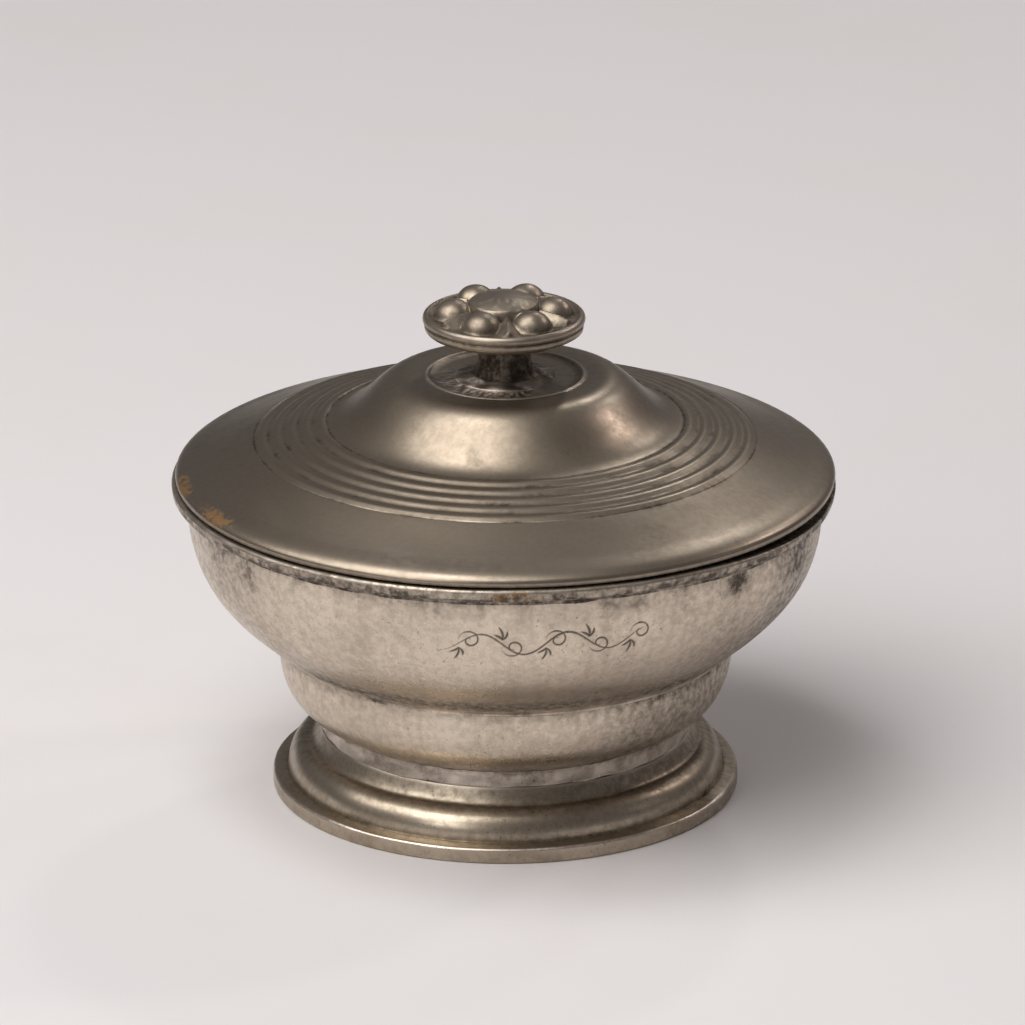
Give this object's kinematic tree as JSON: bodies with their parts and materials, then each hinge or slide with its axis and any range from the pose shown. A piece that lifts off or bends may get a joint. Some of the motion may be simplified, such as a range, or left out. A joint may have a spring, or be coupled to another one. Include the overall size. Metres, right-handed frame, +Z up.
{
  "type": "lidded sugar bowl",
  "caption": "Round pewter sugar bowl on a moulded foot, with a stepped belly, a rim band, and a lift-off domed lid with reeded rings and a flat rosette knob.",
  "frame": {"origin": "on the bowl's axis, in the plane that the foot stands on", "axes": "+Z up along the axis of the bowl, lid and knob; -Y is the front, where the ornament is engraved; +X to the right seen from the front"},
  "size_m": [0.1286, 0.1286, 0.0992],
  "materials": {
    "bowl_pewter": "old pewter, warm light grey, soft satin, mottled and finely pitted",
    "lid_pewter": "old pewter, olive-brown patina, satin with fine turning lines",
    "foot_pewter": "old pewter, brown patina, smoother than the bowl, pitted",
    "knob_pewter": "old pewter, worn bright on the high points, dark in the recesses",
    "solder": "dull tin solder with grime"
  },
  "bodies": {
    "bowl": {"foot_ring": "foot_pewter", "foot_solder": "solder", "bowl_lower": "bowl_pewter", "bowl_seam_solder": "solder", "bowl_upper": "bowl_pewter", "rim_band": "bowl_pewter", "rim_solder": "solder"},
    "lid": {"lid_cover": "lid_pewter", "lid_bezel": "lid_pewter", "bezel_solder": "solder", "knob_stem": "knob_pewter", "knob_solder": "solder", "knob_cup": "knob_pewter", "knob_rosette": "knob_pewter"}
  },
  "joints": [
    {"name": "lid_lift", "type": "slide", "parent": "bowl", "child": "lid", "axis": [0, 0, 1], "range_m": [0, 0.06]}
  ]
}
